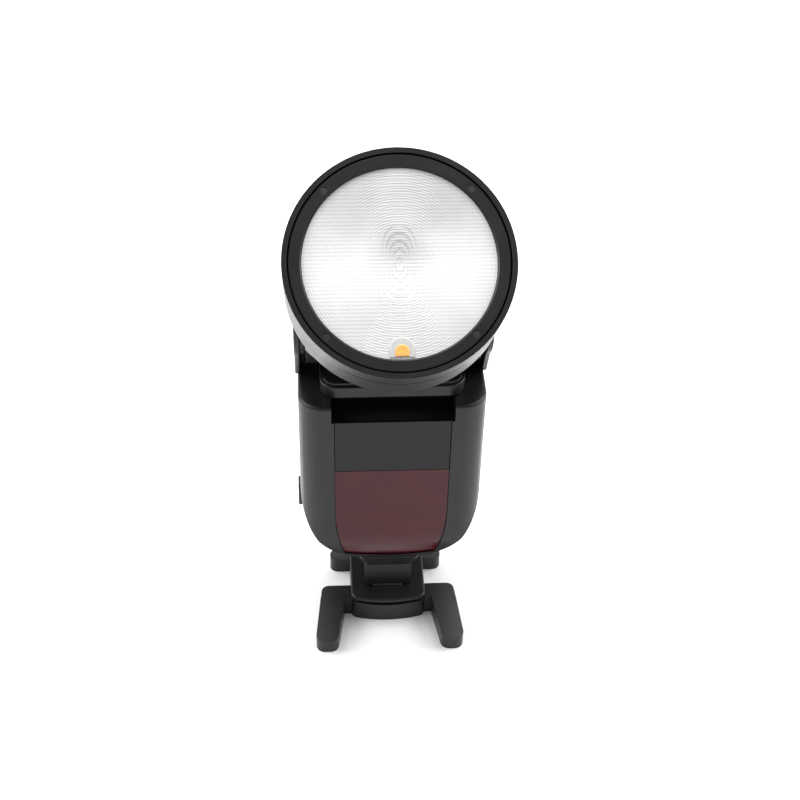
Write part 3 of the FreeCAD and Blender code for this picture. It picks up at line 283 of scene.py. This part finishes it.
def smooth(form, mesh):
    """Write a form to a mesh, shaded smooth except across its sharp edges."""
    for face in form.faces:
        face.smooth = True
    for edge in form.edges:
        edge.smooth = len(edge.link_faces) == 2 and edge.calc_face_angle() < SHARP_ANGLE
    form.to_mesh(mesh)
    form.free()
    return mesh


def rounded(node, width):
    """A CAD node drawn again with its flat faces merged and its sharp edges rounded."""
    source = NODES[node]
    form = bmesh.new()
    form.from_mesh(source.data)
    form.transform(source.matrix_world)
    bmesh.ops.remove_doubles(form, verts=form.verts, dist=MERGE_DISTANCE)
    bmesh.ops.dissolve_limit(form, angle_limit=FLAT_ANGLE, verts=form.verts, edges=form.edges)
    mesh = smooth(form, bpy.data.meshes.new(node + "_rounded"))
    piece = add_piece(node + "_rounded", mesh, BODIES[node], SLOTS[node], nodes=(node,))
    bevel = piece.modifiers.new("edges", "BEVEL")
    bevel.width = width * MM
    bevel.segments = EDGE_SEGMENTS
    bevel.limit_method = "ANGLE"
    bevel.angle_limit = SHARP_ANGLE
    bevel.harden_normals = True


def turned(name, outline, relief, body, slot, nodes):
    """A (radius, height) outline in millimetres, turned about the light's axis and lifted by a relief."""
    form = bmesh.new()
    rings = []
    for radius, height in outline:
        ring = []
        for step in range(TURN_SEGMENTS if radius > 0 else 1):
            angle = 2 * math.pi * step / TURN_SEGMENTS
            x = radius * math.cos(angle)
            y = radius * math.sin(angle)
            ring.append(form.verts.new((x * MM, y * MM, (height + relief(x, y)) * MM)))
        rings.append(ring)
    for inner, outer in zip(rings, rings[1:]):
        for step in range(TURN_SEGMENTS):
            ahead = (step + 1) % TURN_SEGMENTS
            corners = [inner[step % len(inner)], outer[step % len(outer)],
                       outer[ahead % len(outer)], inner[ahead % len(inner)]]
            form.faces.new(list(dict.fromkeys(corners)))
    bmesh.ops.recalc_face_normals(form, faces=form.faces)
    mesh = smooth(form, bpy.data.meshes.new(name))
    piece = add_piece(name, mesh, body, slot, nodes=nodes)
    piece.matrix_world = HEAD_FRAME


def rib(x, y):
    """The height of the level ribs across the middle of the lens."""
    fade = max(0.0, 1 - (math.hypot(x, y) / RIB_REACH) ** 4)
    return RIB_DEPTH * fade * math.cos(2 * math.pi * y / RIB_PITCH)


def add_lens():
    """The lens: a disc with round ridges on its face."""
    outline = [(0, LENS_CREST)]
    count = round(LENS_RADIUS / RIDGE_PITCH)
    for ridge in range(1, count + 1):
        edge = LENS_RADIUS * ridge / count
        outline.append((edge - RIDGE_RISE, LENS_CREST - RIDGE_DEPTH))
        outline.append((edge, LENS_CREST))
    outline += [(LENS_RADIUS, LENS_BACK), (0, LENS_BACK)]
    turned("fresnel_sheet", outline, rib, "head", "lens_plastic", ("fresnel_lens",))


def arch(name, half, top, bottom, low, high, material, slot, nodes=()):
    """A round-topped slab on the head, from one height to another along the light."""
    form = bmesh.new()
    outline = [(-half, bottom), (half, bottom)]
    for step in range(LAMP_STEPS + 1):
        angle = math.pi * step / LAMP_STEPS
        outline.append((half * math.cos(angle), top - half + half * math.sin(angle)))
    layers = [[form.verts.new((x * MM, y * MM, z * MM)) for x, y in outline] for z in (low, high)]
    form.faces.new(layers[0])
    form.faces.new(layers[1])
    for i in range(len(outline)):
        ahead = (i + 1) % len(outline)
        form.faces.new((layers[0][i], layers[0][ahead], layers[1][ahead], layers[1][i]))
    bmesh.ops.remove_doubles(form, verts=form.verts, dist=MERGE_DISTANCE)
    bmesh.ops.recalc_face_normals(form, faces=form.faces)
    mesh = smooth(form, bpy.data.meshes.new(name))
    piece = add_piece(name, mesh, "head", slot, material, nodes)
    piece.matrix_world = HEAD_FRAME
    bevel = piece.modifiers.new("edges", "BEVEL")
    bevel.width = LAMP_EDGE * MM
    bevel.segments = EDGE_SEGMENTS


def add_lamp():
    """The small lamp at the lens's lower edge: a window, and the orange emitter in it."""
    arch("lamp_dome", half=4.1, top=-LAMP_DOWN + 4.9, bottom=-BEZEL_INNER + 0.6,
         low=LENS_FRONT - 1.4, high=LENS_FRONT - 0.02,
         material="lamp_window", slot="lens_plastic", nodes=("lamp_lens",))
    arch("lamp_phosphor", half=2.3, top=-LAMP_DOWN + 2.4, bottom=-LAMP_DOWN - 1.6,
         low=LENS_FRONT - 0.6, high=LENS_FRONT + 0.25,
         material="lamp_emitter", slot="lamp_emitter")


def add_dial():
    """The select dial, with a finger-grip of fine teeth around its rim."""
    form = bmesh.new()
    rings = []
    for radius, height, depth in DIAL_SECTION:
        level = (height - DIAL_SINK) * MM
        ring = []
        for step in range(DIAL_SEGMENTS):
            angle = 2 * math.pi * step / DIAL_SEGMENTS
            reach = radius - depth * (0.5 + 0.5 * math.cos(DIAL_TEETH * angle))
            ring.append(form.verts.new((reach * math.cos(angle) * MM, reach * math.sin(angle) * MM, level)))
        rings.append(ring)
    for inner, outer in zip(rings, rings[1:] + rings[:1]):
        for step in range(DIAL_SEGMENTS):
            ahead = (step + 1) % DIAL_SEGMENTS
            form.faces.new((inner[step], outer[step], outer[ahead], inner[ahead]))
    bmesh.ops.recalc_face_normals(form, faces=form.faces)
    mesh = smooth(form, bpy.data.meshes.new("dial_grip"))
    piece = add_piece("dial_grip", mesh, "select_dial", "dial_plastic", nodes=("select_dial",))
    piece.matrix_world = Matrix.Translation(DIAL) @ Matrix.Rotation(math.radians(-90), 4, "X")


# The width of the rounding on each CAD node's sharp edges, in millimetres
EDGE_WIDTHS = {
    "stand_base": 0.5, "foot_housing": 0.5, "foot_collar": 0.6, "lock_ring": 0.5,
    "casing": 0.35, "rear_cover": 0.35, "front_panel": 0.2, "sensor_window": 0.2,
    "battery_cap": 0.3, "battery_release": 0.35, "port_cover": 0.3, "lcd_window": 0.15,
    "swivel_plate": 0.5, "yoke": 0.4, "yoke_cover_left": 0.6, "yoke_cover_right": 0.6,
    "head_top_shell": 0.4, "head_bottom_shell": 0.4, "bezel": 0.25, "bezel_screws": 0.15,
    "function_button_1": 0.35, "function_button_2": 0.35, "function_button_3": 0.35,
    "function_button_4": 0.35, "mode_button": 0.35, "menu_button": 0.35, "test_button": 0.4,
    "power_switch": 0.4, "set_button": 0.5,
}


def dress_cad_nodes():
    """Give every CAD node its own slot's material."""
    for name, node in NODES.items():
        node.data.materials.clear()
        node.data.materials.append(MATERIALS[SLOTS[name]])


# Stage and camera, in metres and watts

FLOOR_SIDE = 8
SKY_STRENGTH = 0.5

# Each softbox's place, side and power
SOFTBOXES = {
    "left_softbox": ((-1.0, 0.15, 0.75), 0.8, 12),
    "right_softbox": ((1.0, 0.2, 0.75), 0.8, 12),
    "top_softbox": ((0.0, 0.45, 1.3), 1.0, 22),
}

CAMERA_ELEVATION = math.radians(41.3)
CAMERA_AZIMUTH = math.radians(4.2)
CAMERA_ROLL = math.radians(1.6)
CAMERA_DISTANCE = 0.5741
CAMERA_AIM = Vector((0.00396, TILT.y, 0.0997))
CAMERA_NEAR = 0.01

# The lens and the sensor are in millimetres
CAMERA_LENS = 68.4
CAMERA_SENSOR = 36


def add_floor():
    bpy.ops.mesh.primitive_plane_add(size=FLOOR_SIDE)
    floor = bpy.context.object
    floor.name = "floor"
    paper, nodes, links = new_material("paper")
    shader = nodes["Principled BSDF"]
    shader.inputs["Roughness"].default_value = 0.8
    links.new(ramp(nodes, links, noise(nodes, links, 3), 0.9, 0.93), shader.inputs["Base Color"])
    floor.data.materials.append(paper)


def add_sky():
    world = bpy.data.worlds.new("studio")
    world.use_nodes = True
    background = world.node_tree.nodes["Background"]
    background.inputs["Color"].default_value = (1, 1, 1, 1)
    background.inputs["Strength"].default_value = SKY_STRENGTH
    bpy.context.scene.world = world
    bpy.context.scene.view_settings.view_transform = "Standard"


def add_softbox(name, place, side, power):
    light = bpy.data.lights.new(name, "AREA")
    light.size = side
    light.energy = power
    lamp = bpy.data.objects.new(name, light)
    lamp.location = place
    lamp.rotation_euler = (TILT - Vector(place)).to_track_quat("-Z", "Y").to_euler()
    bpy.context.scene.collection.objects.link(lamp)


def add_camera():
    camera = bpy.data.objects.new("camera", bpy.data.cameras.new("camera"))
    camera.data.lens = CAMERA_LENS
    camera.data.sensor_width = CAMERA_SENSOR
    camera.data.clip_start = CAMERA_NEAR
    level = math.cos(CAMERA_ELEVATION)
    back = Vector((-math.sin(CAMERA_AZIMUTH) * level, -math.cos(CAMERA_AZIMUTH) * level,
                   math.sin(CAMERA_ELEVATION)))
    camera.location = CAMERA_AIM + back * CAMERA_DISTANCE
    turn = back.to_track_quat("Z", "Y").to_matrix() @ Matrix.Rotation(CAMERA_ROLL, 3, "Z")
    camera.rotation_euler = turn.to_euler()
    bpy.context.scene.collection.objects.link(camera)
    bpy.context.scene.camera = camera


add_floor()
add_sky()
for softbox, settings in SOFTBOXES.items():
    add_softbox(softbox, *settings)
add_camera()
dress_cad_nodes()
for node, width in EDGE_WIDTHS.items():
    rounded(node, width)
add_lens()
add_lamp()
add_dial()
